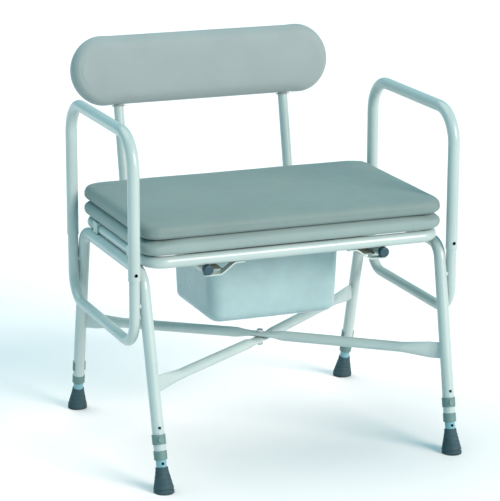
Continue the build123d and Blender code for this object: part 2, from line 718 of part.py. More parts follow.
for side_name, side in SIDE.items():
    for end_name, end in END.items():
        corner = f"{end_name}_{side_name}"
        foot = leg_plane(side, end)
        profile_plane = Plane(origin=foot.origin, x_dir=foot.x_dir, z_dir=foot.x_dir.cross(foot.z_dir))
        leg_axis = Axis(foot.origin, foot.z_dir)

        with BuildPart() as ferrule:
            with BuildSketch(profile_plane):
                with BuildLine():
                    Polyline(
                        (0, -FERRULE_BELOW),
                        (FERRULE_BASE_R, -FERRULE_BELOW),
                        (FERRULE_BASE_R, FERRULE_BAND),
                        (FERRULE_TOP_R, FERRULE_H - FERRULE_LIP_H),
                        (FERRULE_TOP_R - FERRULE_LIP_W, FERRULE_H),
                        (FERRULE_BORE_R, FERRULE_H),
                        (FERRULE_BORE_R, WASHER_S),
                        (0, WASHER_S),
                        close=True,
                    )
                make_face()
            revolve(axis=leg_axis)
            split(bisect_by=Plane.XY, keep=Keep.TOP)
            fillet(ferrule.faces().sort_by(Axis.Z)[0].edges(), radius=FERRULE_FOOT_EDGE)
        export(f"ferrule_{corner}", ferrule)

        with BuildPart() as washer:
            with BuildSketch(leg_plane(side, end, WASHER_S)):
                Circle(FERRULE_BORE_R - WASHER_GAP)
            extrude(amount=WASHER_T)
        export(f"ferrule_washer_{corner}", washer)

        with BuildPart() as inner_leg:
            with BuildSketch(leg_plane(side, end, INNER_START)):
                Circle(THIN_R)
                Circle(THIN_R - WALL, mode=Mode.SUBTRACT)
            extrude(amount=INNER_END - INNER_START)
            for step in range(-HOLES_BELOW, HOLES_ABOVE + 1):
                hole = leg_plane(side, end, CLIP_S + step * HOLE_PITCH)
                with BuildSketch(Plane(origin=hole.origin, z_dir=hole.x_dir)):
                    Circle(HOLE_R)
                extrude(amount=2 * THIN_R, mode=Mode.SUBTRACT)
        export(f"inner_leg_{corner}", inner_leg)

        with BuildPart() as bush:
            with BuildSketch(profile_plane):
                with BuildLine():
                    Polyline(
                        (BUSH_BORE_R, BUSH_START),
                        (BUSH_R - BUSH_EDGE, BUSH_START),
                        (BUSH_R, BUSH_START + BUSH_EDGE),
                        (BUSH_R, BUSH_END - BUSH_EDGE),
                        (BUSH_R - BUSH_EDGE, BUSH_END),
                        (TUBE_R + BUSH_TUBE_GAP, BUSH_END),
                        (TUBE_R + BUSH_TUBE_GAP, TUBE_END - BUSH_TUBE_GAP),
                        (BUSH_BORE_R, TUBE_END - BUSH_TUBE_GAP),
                        close=True,
                    )
                make_face()
            revolve(axis=leg_axis)
        export(f"leg_bush_{corner}", bush)

        with BuildPart() as leg_clip:
            with BuildSketch(leg_plane(side, end, CLIP_S - CLIP_H / 2)):
                Circle(CLIP_BORE_R + CLIP_T)
                Circle(CLIP_BORE_R, mode=Mode.SUBTRACT)
                mouth = radians((360 - CLIP_WRAP) / 2)
                reach = 3 * TUBE_R
                with BuildLine():
                    Polyline(
                        (0, 0),
                        (-reach * cos(mouth), reach * sin(mouth)),
                        (-reach * cos(mouth), -reach * sin(mouth)),
                        close=True,
                    )
                make_face(mode=Mode.SUBTRACT)
            extrude(amount=CLIP_H)
            clip_centre = leg_plane(side, end, CLIP_S)
            across = Plane(origin=clip_centre.origin, z_dir=clip_centre.x_dir)
            with BuildSketch(across.offset(CLIP_BORE_R + CLIP_T / 2)):
                Circle(BOSS_R)
            extrude(amount=CLIP_T / 2 + BOSS_T)
            with BuildSketch(across.offset(PIN_IN)):
                Circle(PIN_R)
            extrude(amount=CLIP_BORE_R + CLIP_T - PIN_IN)
        export(f"leg_clip_{corner}", leg_clip)
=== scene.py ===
"""Looks of the extra-wide commode chair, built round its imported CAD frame.

Metres, in the CAD frame: +X to the sitter's left, the front is -Y, +Z up, the floor at z = 0.
"""
import json
from math import cos, pi, radians, sin

import bmesh
import bpy
from mathutils import Matrix, Vector, noise

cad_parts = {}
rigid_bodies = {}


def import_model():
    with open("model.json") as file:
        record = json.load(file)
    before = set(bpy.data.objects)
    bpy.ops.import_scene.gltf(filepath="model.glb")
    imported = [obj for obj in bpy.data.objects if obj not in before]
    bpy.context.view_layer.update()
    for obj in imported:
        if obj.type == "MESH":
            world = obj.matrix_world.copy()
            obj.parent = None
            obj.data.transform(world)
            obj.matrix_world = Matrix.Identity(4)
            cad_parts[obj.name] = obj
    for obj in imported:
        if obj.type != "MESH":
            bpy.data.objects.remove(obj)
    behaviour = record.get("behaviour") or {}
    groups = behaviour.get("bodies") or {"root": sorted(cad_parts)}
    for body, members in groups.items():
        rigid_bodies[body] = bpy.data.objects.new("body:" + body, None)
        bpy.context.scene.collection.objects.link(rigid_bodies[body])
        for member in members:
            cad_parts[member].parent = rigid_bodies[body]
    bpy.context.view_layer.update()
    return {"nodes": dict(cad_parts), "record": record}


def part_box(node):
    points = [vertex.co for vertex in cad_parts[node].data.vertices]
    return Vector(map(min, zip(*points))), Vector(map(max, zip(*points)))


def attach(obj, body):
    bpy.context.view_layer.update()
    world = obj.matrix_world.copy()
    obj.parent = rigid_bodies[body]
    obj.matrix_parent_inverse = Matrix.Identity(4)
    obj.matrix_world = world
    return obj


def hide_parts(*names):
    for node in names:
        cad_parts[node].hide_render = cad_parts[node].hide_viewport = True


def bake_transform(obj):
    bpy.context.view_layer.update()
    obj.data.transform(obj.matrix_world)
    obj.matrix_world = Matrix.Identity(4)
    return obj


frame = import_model()
nodes = frame["nodes"]
joints = frame["record"]["behaviour"]["joints"]


# ---------------------------------------------------------------- helpers
def linear(red, green, blue):
    """Linear colour of an 8-bit sRGB one."""
    channels = []
    for value in (red, green, blue):
        value /= 255
        channels.append(value / 12.92 if value <= 0.04045 else ((value + 0.055) / 1.055) ** 2.4)
    return (*channels, 1.0)


def shade(colour, factor):
    """A colour made darker or lighter."""
    return (*[min(1.0, channel * factor) for channel in colour[:3]], 1.0)


def new_object(name, mesh_builder, smooth=True):
    """Object with the mesh that a bmesh holds."""
    mesh = bpy.data.meshes.new(name)
    mesh_builder.to_mesh(mesh)
    mesh_builder.free()
    if smooth:
        mesh.polygons.foreach_set("use_smooth", [True] * len(mesh.polygons))
    made = bpy.data.objects.new(name, mesh)
    bpy.context.scene.collection.objects.link(made)
    return made


def bridge(builder, lower, upper):
    """Faces between two closed rings of vertices."""
    count = len(lower)
    for i in range(count):
        j = (i + 1) % count
        builder.faces.new((lower[i], lower[j], upper[j], upper[i]))


def circle(count):
    """Angles of evenly spaced points round a circle."""
    return [2 * pi * step / count for step in range(count)]


def cut_flat(builder, point, normal=(0, 0, 1), **clear):
    """Cut a closed mesh along a plane; where one side of the cut is cleared, close the rest again."""
    everything = builder.verts[:] + builder.edges[:] + builder.faces[:]
    bmesh.ops.bisect_plane(builder, geom=everything, plane_co=point, plane_no=normal, **clear)
    if clear:
        bmesh.ops.edgeloop_fill(builder, edges=[edge for edge in builder.edges if edge.is_boundary])


def give(piece, material, body=None):
    """Material and body of a new piece."""
    piece.data.materials.clear()
    piece.data.materials.append(material)
    if body:
        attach(piece, body)
    return piece


# ---------------------------------------------------------------- materials
RAMP_LOW = 0.3  # where in a texture's values a colour starts and stops changing
RAMP_HIGH = 0.7
SMOOTHEST = 0.02


class Nodes:
    """A Principled material with a short way to add nodes. Its textures are laid out in metres."""

    def __init__(self, name, colour, roughness, **settings):
        self.material = bpy.data.materials.new(name)
        self.material.use_nodes = True
        self.tree = self.material.node_tree
        self.shader = self.tree.nodes["Principled BSDF"]
        self.colour = colour
        self.roughness = roughness
        self.shader.inputs["Base Color"].default_value = colour
        self.shader.inputs["Roughness"].default_value = roughness
        for socket, value in settings.items():
            self.shader.inputs[socket.replace("_", " ")].default_value = value
        self.coordinates = self.tree.nodes.new("ShaderNodeTexCoord").outputs["Object"]

    def noise(self, scale, detail, rough=0.5, stretch=(1, 1, 1)):
        mapping = self.tree.nodes.new("ShaderNodeMapping")
        mapping.inputs["Scale"].default_value = stretch
        texture = self.tree.nodes.new("ShaderNodeTexNoise")
        texture.inputs["Scale"].default_value = scale
        texture.inputs["Detail"].default_value = detail
        texture.inputs["Roughness"].default_value = rough
        self.tree.links.new(self.coordinates, mapping.inputs["Vector"])
        self.tree.links.new(mapping.outputs["Vector"], texture.inputs["Vector"])
        return texture.outputs["Fac"]

    def cells(self, scale):
        texture = self.tree.nodes.new("ShaderNodeTexVoronoi")
        texture.feature = "DISTANCE_TO_EDGE"
        texture.inputs["Scale"].default_value = scale
        self.tree.links.new(self.coordinates, texture.inputs["Vector"])
        return texture.outputs["Distance"]

    def ramp(self, source, stops):
        ramp = self.tree.nodes.new("ShaderNodeValToRGB")
        self.tree.links.new(source, ramp.inputs["Fac"])
        elements = ramp.color_ramp.elements
        for i, (place, colour) in enumerate(stops):
            element = elements[i] if i < 2 else elements.new(place)
            element.position = place
            element.color = colour
        return ramp.outputs["Color"]

    def vary_colour(self, source, dark, light):
        stops = [(RAMP_LOW, shade(self.colour, dark)), (RAMP_HIGH, shade(self.colour, light))]
        self.tree.links.new(self.ramp(source, stops), self.shader.inputs["Base Color"])

    def vary_roughness(self, source, spread):
        remap = self.tree.nodes.new("ShaderNodeMapRange")
        remap.inputs["To Min"].default_value = max(SMOOTHEST, self.roughness - spread)
        remap.inputs["To Max"].default_value = min(1.0, self.roughness + spread)
        self.tree.links.new(source, remap.inputs["Value"])
        self.tree.links.new(remap.outputs["Result"], self.shader.inputs["Roughness"])

    def bump(self, layers):
        """layers: (height source, strength, distance in metres), each on top of the one before."""
        normal = None
        for source, strength, distance in layers:
            bump = self.tree.nodes.new("ShaderNodeBump")
            bump.inputs["Strength"].default_value = strength
            bump.inputs["Distance"].default_value = distance
            self.tree.links.new(source, bump.inputs["Height"])
            if normal:
                self.tree.links.new(normal, bump.inputs["Normal"])
            normal = bump.outputs["Normal"]
        self.tree.links.new(normal, self.shader.inputs["Normal"])


def powder_coat(name, colour):
    made = Nodes(name, colour, 0.34, Coat_Weight=0.25, Coat_Roughness=0.2)
    made.vary_colour(made.noise(9, 4), dark=0.95, light=1.03)
    made.vary_roughness(made.noise(35, 4), spread=0.07)
    made.bump([(made.noise(700, 2), 0.10, 0.0004), (made.noise(2600, 1), 0.05, 0.0002)])
    return made.material


def vinyl(name, colour):
    made = Nodes(name, colour, 0.58, Sheen_Weight=0.1, Sheen_Roughness=0.5, Specular_IOR_Level=0.32)
    made.vary_colour(made.noise(6, 5, 0.6), dark=0.93, light=1.05)
    made.vary_roughness(made.noise(60, 4), spread=0.08)
    creases = (made.noise(45, 3), 0.10, 0.0012)
    leather_cells = (made.cells(620), 0.20, 0.0004)
    made.bump([creases, leather_cells, (made.noise(1500, 2), 0.14, 0.0002)])
    return made.material


def plastic(name, colour, roughness, grain=0.12, **settings):
    made = Nodes(name, colour, roughness, **settings)
    made.vary_colour(made.noise(25, 3), dark=0.93, light=1.05)
    made.vary_roughness(made.noise(90, 3), spread=0.06)
    made.bump([(made.noise(1400, 2), grain, 0.0003)])
    return made.material


def rubber(name, colour):
    made = Nodes(name, colour, 0.72)
    made.vary_colour(made.noise(40, 5, 0.65), dark=0.75, light=1.2)
    made.vary_roughness(made.noise(120, 3), spread=0.1)
    made.bump([(made.noise(160, 4), 0.12, 0.001), (made.noise(1800, 2), 0.22, 0.0003)])
    return made.material


def steel(name, colour, roughness):
    made = Nodes(name, colour, roughness, Metallic=1.0)
    made.vary_colour(made.noise(150, 4), dark=0.82, light=1.08)
    made.vary_roughness(made.noise(400, 3), spread=0.1)
    made.bump([(made.noise(900, 3), 0.08, 0.0002)])
    return made.material


def plywood(name):
    colour = linear(176, 146, 108)
    made = Nodes(name, colour, 0.62)
    grain = made.noise(14, 6, 0.6, stretch=(0.6, 9, 9))
    stops = [(0.32, shade(colour, 0.72)), (0.5, colour), (0.68, shade(colour, 1.16))]
    made.tree.links.new(made.ramp(grain, stops), made.shader.inputs["Base Color"])
    made.vary_roughness(made.noise(70, 3), spread=0.08)
    made.bump([(made.noise(60, 5, 0.6, stretch=(0.5, 9, 9)), 0.2, 0.0006)])
    return made.material


enamel = powder_coat("frame_powder_coat", (0.405, 0.505, 0.495, 1))
inner_enamel = powder_coat("inner_tube_powder_coat", (0.16, 0.36, 0.42, 1))
seat_vinyl = vinyl("seat_vinyl_cloth", (0.232, 0.318, 0.310, 1))
# Painted shade: the lid is the same vinyl as the seat, darkened for its upward-facing top.
shaded_lid_vinyl = vinyl("lid_cloth_painted_shade", (0.170, 0.243, 0.235, 1))
back_vinyl = vinyl("back_vinyl_cloth", (0.262, 0.325, 0.325, 1))
clip_plastic = plastic("clip_nylon", (0.11, 0.205, 0.20, 1), 0.5)
pale_plastic = plastic("pale_nylon", (0.40, 0.52, 0.51, 1), 0.45)
dark_plastic = plastic("dark_plug_plastic", (0.012, 0.055, 0.075, 1), 0.45)
MILKY = {"Subsurface_Weight": 0.2, "Subsurface_Scale": 0.006}
pan_plastic = plastic("milky_polypropylene", (0.31, 0.455, 0.475, 1), 0.3, grain=0.05, **MILKY)
ferrule_rubber = rubber("ferrule_rubber", (0.024, 0.064, 0.078, 1))
zinc = steel("zinc_plate", linear(190, 196, 198), 0.36)
blued = steel("blued_steel", linear(16, 19, 21), 0.45)
board_ply = plywood("sealed_plywood")

SLOT_MATERIALS = {
    "frame_enamel": enamel,
    "inner_tube": inner_enamel,
    "plated_steel": zinc,
    "spring_steel": blued,
    "seat_vinyl": seat_vinyl,
    "back_vinyl": back_vinyl,
    "plywood": board_ply,
    "ferrule_rubber": ferrule_rubber,
    "clip_plastic": clip_plastic,
    "pale_plastic": pale_plastic,
    "dark_plastic": dark_plastic,
    "pan_plastic": pan_plastic,
}
# Every CAD node takes the finish of its slot in the record.
for subpart in frame["record"]["subparts"]:
    node = nodes[subpart["node"]]
    node.data.materials.clear()
    node.data.materials.append(SLOT_MATERIALS[subpart["material_slot"]])


# ---------------------------------------------------------------- padded pieces
CLOTH_FRAMES = 20
CLOTH_PRESSURE = 4.0
CLOTH_STRETCH_STIFFNESS = 20
CLOTH_BENDING_STIFFNESS = 1.5
CLOTH_CAP = 0.0025  # the furthest that a point of a cover may swell
SMALLEST_CORNER = 0.0005


def outline(half_x, half_y, corner, per_corner=10, along=22):
    """Rounded rectangle as points, anticlockwise from the middle of its +X side."""
    corner = max(corner, SMALLEST_CORNER)
    points = []
    for sign_x, sign_y, start in ((1, 1, 0), (-1, 1, 90), (-1, -1, 180), (1, -1, 270)):
        centre = Vector((sign_x * (half_x - corner), sign_y * (half_y - corner)))
        for step in range(per_corner + 1):
            angle = radians(start + 90 * step / per_corner)
            points.append(centre + corner * Vector((cos(angle), sin(angle))))
    dense = []
    for i, point in enumerate(points):
        following = points[(i + 1) % len(points)]
        dense.append(point)
        if (i + 1) % (per_corner + 1) == 0:
            for step in range(1, along):
                dense.append(point.lerp(following, step / along))
    return dense


def apply_modifiers(piece):
    """Replace a piece's mesh by what its modifiers make of it."""
    evaluated = piece.evaluated_get(bpy.context.evaluated_depsgraph_get())
    mesh = bpy.data.meshes.new_from_object(evaluated)
    piece.modifiers.clear()
    piece.vertex_groups.clear()
    piece.data = mesh
    mesh.polygons.foreach_set("use_smooth", [True] * len(mesh.polygons))


def inflate(piece, held):
    """Swell a closed cover as cloth over its foam, apart from the points that held() picks.

    No point moves further than CLOTH_CAP. Returns where the points were before.
    """
    start = [vertex.co.copy() for vertex in piece.data.vertices]
    group = piece.vertex_groups.new(name="held")
    group.add([vertex.index for vertex in piece.data.vertices if held(vertex.co)], 1.0, "REPLACE")
    cloth = piece.modifiers.new("cloth", "CLOTH")
    cloth.settings.use_pressure = True
    cloth.settings.uniform_pressure_force = CLOTH_PRESSURE
    cloth.settings.vertex_group_mass = "held"
    cloth.settings.effector_weights.gravity = 0
    cloth.settings.tension_stiffness = CLOTH_STRETCH_STIFFNESS
    cloth.settings.compression_stiffness = CLOTH_STRETCH_STIFFNESS
    cloth.settings.bending_stiffness = CLOTH_BENDING_STIFFNESS
    cloth.settings.quality = 5
    cloth.point_cache.frame_start = 1
    cloth.point_cache.frame_end = CLOTH_FRAMES
    for step in range(1, CLOTH_FRAMES + 1):
        bpy.context.scene.frame_set(step)
    apply_modifiers(piece)
    bpy.context.scene.frame_set(1)
    for vertex, before in zip(piece.data.vertices, start):
        move = vertex.co - before
        if move.length > CLOTH_CAP:
            vertex.co = before + move * (CLOTH_CAP / move.length)
    return start


def subdivide(piece):
    """One subdivision of a finished pad."""
    modifier = piece.modifiers.new("subdivide", "SUBSURF")
    modifier.levels = 1
    modifier.render_levels = 1
    apply_modifiers(piece)


BOARD_IN = 0.0158  # the foam's overhang past its board, all round
BOARD_UP = 0.0053  # the foam's underside, above the board
HEM_T = 0.0005  # the cover's edge, folded under the board and stapled
HEM_LAP = HEM_T / 6  # the hem's upper face, below the board's underside
HEM_IN = 0.038  # the hem's inner edge
EDGE_LOW = 0.0155  # how far the rounded edge reaches in at the bottom
EDGE_OUT = 0.0008  # the cover before it swells, inside the CAD pad's outline
CORNER_R = 0.045  # the pad's plan corners, which tighten inwards
CORNER_TIGHTENS = 0.8
TOP_DROP = 0.0012  # below the CAD pad's top, before the cover swells
RING_GAP = 0.009
CENTRE_X = 0.016  # the patch that closes the lid's top
CENTRE_Y = 0.010
HOLE_OVERHANG = 0.0118  # the foam's overhang past the board, round the hole
HOLE_HEM = 0.030
HOLE_EDGE = 0.011
SIDE_PULL = 0.0015  # how far the sides draw in between the corners
ARC_STEPS = 12
TOP_WAVE = 0.0005


def seat_cover(name, low, high, edge_top, hole=None):
    """Closed cover of a pad on a board: hem, rounded edge, top, and the same round a hole if there is one.

    Its section runs from the hem's inner edge outwards, over the top and down to the foam's underside.
    A hole is given as its middle and its two radii.
    """
    centre = (low + high) / 2
    half = (high - low) / 2
    builder = bmesh.new()
    rings = []

    def edge_ring(inset, height, pull=0.0):
        ring = []
        corner = CORNER_R - CORNER_TIGHTENS * inset
        for point in outline(half.x - inset, half.y - inset, corner):
            draw_x = pull * (1 - (point.y / half.y) ** 2) * (abs(point.x) > half.x - inset - 0.002)
            draw_y = pull * (1 - (point.x / half.x) ** 2) * (abs(point.y) > half.y - inset - 0.002)
            x = centre.x + point.x - (draw_x if point.x > 0 else -draw_x)
            y = centre.y + point.y - (draw_y if point.y > 0 else -draw_y)
            ring.append(builder.verts.new((x, y, height)))
        return ring

    def hole_ring(place, radius_x, radius_y, height):
        """Ellipse with a point straight across from each of the outer ring's points."""
        ring = []
        for vertex in rings[0]:
            across = Vector((vertex.co.x - place.x, vertex.co.y - place.y)).normalized()
            reach = ((across.x / radius_x) ** 2 + (across.y / radius_y) ** 2) ** -0.5
            ring.append(builder.verts.new((*(place + across * reach), height)))
        return ring

    bottom = low.z - HEM_T
    top = high.z - TOP_DROP
    belt = (bottom + top) / 2
    hem_top = low.z - HEM_LAP
    rings.append(edge_ring(HEM_IN, hem_top))
    rings.append(edge_ring(HEM_IN, bottom))
    rings.append(edge_ring((HEM_IN + EDGE_LOW) / 2, bottom))
    for step in range(ARC_STEPS + 1):
        angle = pi * (step / ARC_STEPS - 0.5)
        edge = EDGE_LOW if angle < 0 else edge_top
        inset = EDGE_OUT + edge * (1 - cos(angle))
        rings.append(edge_ring(inset, belt + (top - belt) * sin(angle), pull=SIDE_PULL))
    outer_top = rings[-1]
    place, radius_x, radius_y = hole or (Vector((centre.x, centre.y)), CENTRE_X, CENTRE_Y)
    rim = HOLE_EDGE if hole else 0
    last = hole_ring(place, radius_x + rim, radius_y + rim, top)
    steps = int((half.y - radius_y - rim) / RING_GAP)
    for step in range(1, steps):
        share = step / steps
        rings.append([builder.verts.new(a.co.lerp(b.co, share)) for a, b in zip(outer_top, last)])
    rings.append(last)
    if hole:
        section = []
        for step in range(1, ARC_STEPS + 1):
            angle = pi * (0.5 - step / ARC_STEPS)
            section.append((HOLE_EDGE * (1 - cos(angle)), belt + (top - belt) * sin(angle)))
        section += [(HOLE_HEM, bottom), (HOLE_HEM, hem_top)]
        section += [(HOLE_OVERHANG, hem_top), (HOLE_OVERHANG, low.z + BOARD_UP)]
        for out, height in section:
            rings.append(hole_ring(place, radius_x + out, radius_y + out, height))
    else:
        builder.faces.new(last)
    for lower, upper in zip(rings, rings[1:]):
        bridge(builder, lower, upper)
    under = edge_ring(BOARD_IN, low.z + BOARD_UP)
    ledge = edge_ring(BOARD_IN, hem_top)
    bridge(builder, under, ledge)
    bridge(builder, ledge, rings[0])
    if hole:
        bridge(builder, rings[-1], under)
    else:
        builder.faces.new(list(reversed(under)))
    bmesh.ops.recalc_face_normals(builder, faces=builder.faces)
    return new_object(name, builder)


def shape_top(piece, low, high, rise, ceiling):
    """Crown a swollen pad's top, ease its smallest waves in, and keep it under a ceiling."""
    centre = (low + high) / 2
    half = (high - low) / 2
    for vertex in piece.data.vertices:
        u = min(1, abs(vertex.co.x - centre.x) / half.x)
        v = min(1, abs(vertex.co.y - centre.y) / half.y)
        share = max(0, (vertex.co.z - low.z) / (high.z - low.z) - 0.5) * 2
        swell = (1 - u ** 4) * (1 - v ** 4)
        wave = TOP_WAVE * noise.noise(vertex.co * 11)
        vertex.co.z = min(vertex.co.z + share * (rise * swell + wave), ceiling)


def staple_hem(name, low, high):
    """Staples through the hem into the board, all round a pad."""
    staples = bmesh.new()
    centre = (low + high) / 2
    half = (high - low) / 2
    row = outline(half.x - STAPLES_IN, half.y - STAPLES_IN, STAPLES_CORNER, per_corner=2, along=9)
    for i, point in enumerate(row):
        ahead = row[(i + 1) % len(row)] - row[i - 1]
        wire = bmesh.ops.create_cube(staples, size=1)["verts"]
        spot = Vector((centre.x + point.x, centre.y + point.y, low.z - HEM_T - STAPLE_PROUD))
        turn = Matrix.Rotation(-Vector((1, 0)).angle_signed(ahead.normalized()), 4, "Z")
        size = Matrix.Diagonal((*STAPLE_SIZE, 1))
        bmesh.ops.transform(staples, matrix=Matrix.Translation(spot) @ turn @ size, verts=wire)
    return new_object(name, staples, smooth=False)


STAPLES_IN = 0.029
STAPLES_CORNER = 0.02
STAPLE_SIZE = (0.010, 0.0012, 0.0007)
STAPLE_PROUD = 0.0002
HELD_HEIGHT = 0.009  # the cover is held by its board below this
APERTURE_X = 0.1155
APERTURE_Y = 0.1355

pan_low, pan_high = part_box("pan")
pan_middle = Vector(((pan_low.x + pan_high.x) / 2, (pan_low.y + pan_high.y) / 2))
aperture = (pan_middle, APERTURE_X, APERTURE_Y)
# The seat pad is flat under the lid. The lid is the seat's vinyl made darker: painted shade for its top,
# which faces up and gets less of the key light.
for name, node, body, cloth, edge_top, hole, rise, head in (
    ("lid_cushion", "lid_pad", "lid", shaded_lid_vinyl, 0.0155, None, 0.0018, 0.004),
    ("seat_cushion", "toilet_seat_pad", "toilet_seat", seat_vinyl, 0.024, aperture, 0.0, -0.0009),
):
    low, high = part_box(node)
    hold_under = low.z + HELD_HEIGHT
    pad = seat_cover(name, low, high, edge_top, hole)
    inflate(pad, lambda point: point.z < hold_under)
    shape_top(pad, low, high, rise, high.z + head)
    subdivide(pad)
    give(pad, cloth, body)
    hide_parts(node)
    give(staple_hem(f"{body}_staples", low, high), zinc, body)

# ---------------------------------------------------------------- backrest
RAKE = radians(11.6)
BACK_HALF_W = 0.310
BACK_HALF_H = 0.081
BACK_HALF_T = 0.025
BACK_EDGE = 0.021
BACK_SHRINK = 0.0015  # the cover before it swells, inside the CAD pad
BACK_HELD = 0.004  # the cover is held this far in from its back face
BACK_ARC_STEPS = 14
BACK_CROWN = 0.0022
BACK_WAVE = 0.0004
TIGHT_FROM = 0.215  # the cover is tailored tight round its two ends
TIGHT_OVER = 0.055
FAIRED_SHARE = 0.85
FAIRING_PASSES = 12
END_TURNS = 14  # points round each end of the outline, a quarter turn at a time
SIDE_RUNS = 44
BACK_REAR = 0.014  # the pad's back face, behind the posts' axes
POST_X = 0.199
POST_Z = BACK_REAR - BACK_HALF_T
SLEEVE_R = 0.01305
SLEEVE_TOP = 0.0515
CHANNEL_BELOW = 0.1
COVER_R = 0.0146  # outside of the cover where it wraps a sleeve
COVER_LOW = 0.0783
COVER_OVER_TOP = 0.003

back_low, back_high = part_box("backrest_pad")
back_centre = (back_low + back_high) / 2
# Local x is X, local y is up the pad and local z points at the sitter.
back_frame = Matrix.Translation(back_centre) @ Matrix.Rotation(pi / 2 - RAKE, 4, "X")


def half_stadium(inset):
    """Upper half of the pad's outline, from its right tip over the top to its left tip."""
    half_h = BACK_HALF_H - inset
    straight = BACK_HALF_W - BACK_HALF_H
    angles = [pi / 2 * step / END_TURNS for step in range(END_TURNS + 1)]
    end = [Vector((straight + half_h * cos(angle), half_h * sin(angle))) for angle in angles]
    side = [Vector((straight * (1 - 2 * step / SIDE_RUNS), half_h)) for step in range(1, SIDE_RUNS)]
    return end + side + [Vector((-point.x, point.y)) for point in reversed(end)]


def stadium(inset, height):
    """The pad's closed outline at a height: its upper half, then its mirror image."""
    upper = half_stadium(inset)
    lower = [Vector((point.x, -point.y)) for point in reversed(upper[1:-1])]
    return [Vector((point.x, point.y, height)) for point in upper + lower]


def back_face(builder, ring, rows=16):
    """Fill a ring with rows of quads between its upper and lower halves."""
    count = len(ring) // 2 + 1
    top = ring[:count]
    bottom = [ring[0], *reversed(ring[count:]), ring[count - 1]]
    previous = top
    for row in range(1, rows + 1):
        share = row / rows
        if row == rows:
            current = bottom
        else:
            inner = [builder.verts.new(a.co.lerp(b.co, share)) for a, b in zip(top[1:-1], bottom[1:-1])]
            current = [ring[0], *inner, ring[count - 1]]
        for i in range(count - 1):
            corners = [previous[i], previous[i + 1], current[i + 1], current[i]]
            unique = [v for k, v in enumerate(corners) if v not in corners[:k]]
            builder.faces.new(unique)
        previous = current


builder = bmesh.new()
rings = []
for step in range(BACK_ARC_STEPS + 1):
    angle = pi * (step / BACK_ARC_STEPS - 0.5)
    inset = BACK_SHRINK + BACK_EDGE * (1 - cos(angle))
    depth = BACK_HALF_T if angle < 0 else BACK_HALF_T - BACK_SHRINK
    rings.append([builder.verts.new(point) for point in stadium(inset, depth * sin(angle))])
for lower, upper in zip(rings, rings[1:]):
    bridge(builder, lower, upper)
back_face(builder, rings[0])
back_face(builder, rings[-1])
bmesh.ops.recalc_face_normals(builder, faces=builder.faces)
backrest = new_object("backrest_cushion", builder)
start = inflate(backrest, lambda point: point.z < -BACK_HALF_T + BACK_HELD)
for vertex, before in zip(backrest.data.vertices, start):
    share = min(1, max(0, (abs(before.x) - TIGHT_FROM) / TIGHT_OVER))
    vertex.co = vertex.co.lerp(before, share * share * (3 - 2 * share))
faired = bmesh.new()
faired.from_mesh(backrest.data)
front_face = [vertex for vertex in faired.verts if vertex.co.z > FAIRED_SHARE * BACK_HALF_T]
for _ in range(FAIRING_PASSES):
    bmesh.ops.smooth_vert(faired, verts=front_face, factor=0.5, use_axis_z=True)
faired.to_mesh(backrest.data)
faired.free()
for vertex in backrest.data.vertices:
    u = min(1, abs(vertex.co.x) / BACK_HALF_W)
    v = min(1, abs(vertex.co.y) / BACK_HALF_H)
    front = max(0, vertex.co.z / BACK_HALF_T)
    wave = BACK_WAVE * noise.noise(vertex.co * 14)
    vertex.co.z += front * (BACK_CROWN * (1 - u ** 4) * (1 - v ** 2) + wave)
subdivide(backrest)


def over_sleeves(point):
    """The point, moved back where it would be inside the cover that wraps a sleeve."""
    aside = abs(point.x) - POST_X
    beside = -COVER_LOW < point.y < SLEEVE_TOP + COVER_OVER_TOP
    if beside and abs(aside) < COVER_R and point.z < POST_Z:
        point.z = min(point.z, POST_Z - (COVER_R ** 2 - aside ** 2) ** 0.5)
    return point


for vertex in backrest.data.vertices:
    vertex.co = over_sleeves(vertex.co)

# Mouths in the cover's underside, where the posts go up into their sleeves
channels = bmesh.new()
depth = SLEEVE_TOP + CHANNEL_BELOW
for side in (-1, 1):
    blank = bmesh.ops.create_cone(
        channels, cap_ends=True, segments=48, radius1=SLEEVE_R, radius2=SLEEVE_R, depth=depth
    )["verts"]
    middle = Vector((side * POST_X, (SLEEVE_TOP - CHANNEL_BELOW) / 2, POST_Z))
    stand = Matrix.Translation(middle) @ Matrix.Rotation(pi / 2, 4, "X")
    bmesh.ops.transform(channels, matrix=stand, verts=blank)
cutter = new_object("channel_cutter", channels)
cut = backrest.modifiers.new("channels", "BOOLEAN")
cut.object = cutter
cut.solver = "EXACT"
apply_modifiers(backrest)
bpy.data.objects.remove(cutter)
backrest.data.transform(back_frame)
give(backrest, back_vinyl, "backrest")
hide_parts("backrest_pad")


BEAD_AROUND = 8


def beads(name, paths, radius):
    """Round beads of cover vinyl along closed paths in the backrest's own frame."""
    builder = bmesh.new()
    for path in paths:
        loops = []
        for i, point in enumerate(path):
            along = (path[(i + 1) % len(path)] - path[i - 1]).normalized()
            turn = along.to_track_quat("Z", "Y").to_matrix()
            rim = [Vector((radius * cos(angle), radius * sin(angle), 0)) for angle in circle(BEAD_AROUND)]
            loops.append([builder.verts.new(point + turn @ offset) for offset in rim])
        for first, second in zip(loops, loops[1:] + loops[:1]):
            shift = min(range(BEAD_AROUND), key=lambda k: (second[k].co - first[0].co).length)
            bridge(builder, first, second[shift:] + second[:shift])
    bmesh.ops.recalc_face_normals(builder, faces=builder.faces)
    piece = new_object(name, builder)
    piece.data.transform(back_frame)
    give(piece, back_vinyl, "backrest")


# Closing seam round the back edge, and a collar round each mouth
SEAM_ANGLE = radians(-58)
SEAM_R = 0.0014
seam_inset = BACK_SHRINK + BACK_EDGE * (1 - cos(SEAM_ANGLE))
seam_line = stadium(seam_inset, BACK_HALF_T * sin(SEAM_ANGLE))
beads("backrest_seam", [[over_sleeves(point) for point in seam_line]], SEAM_R)

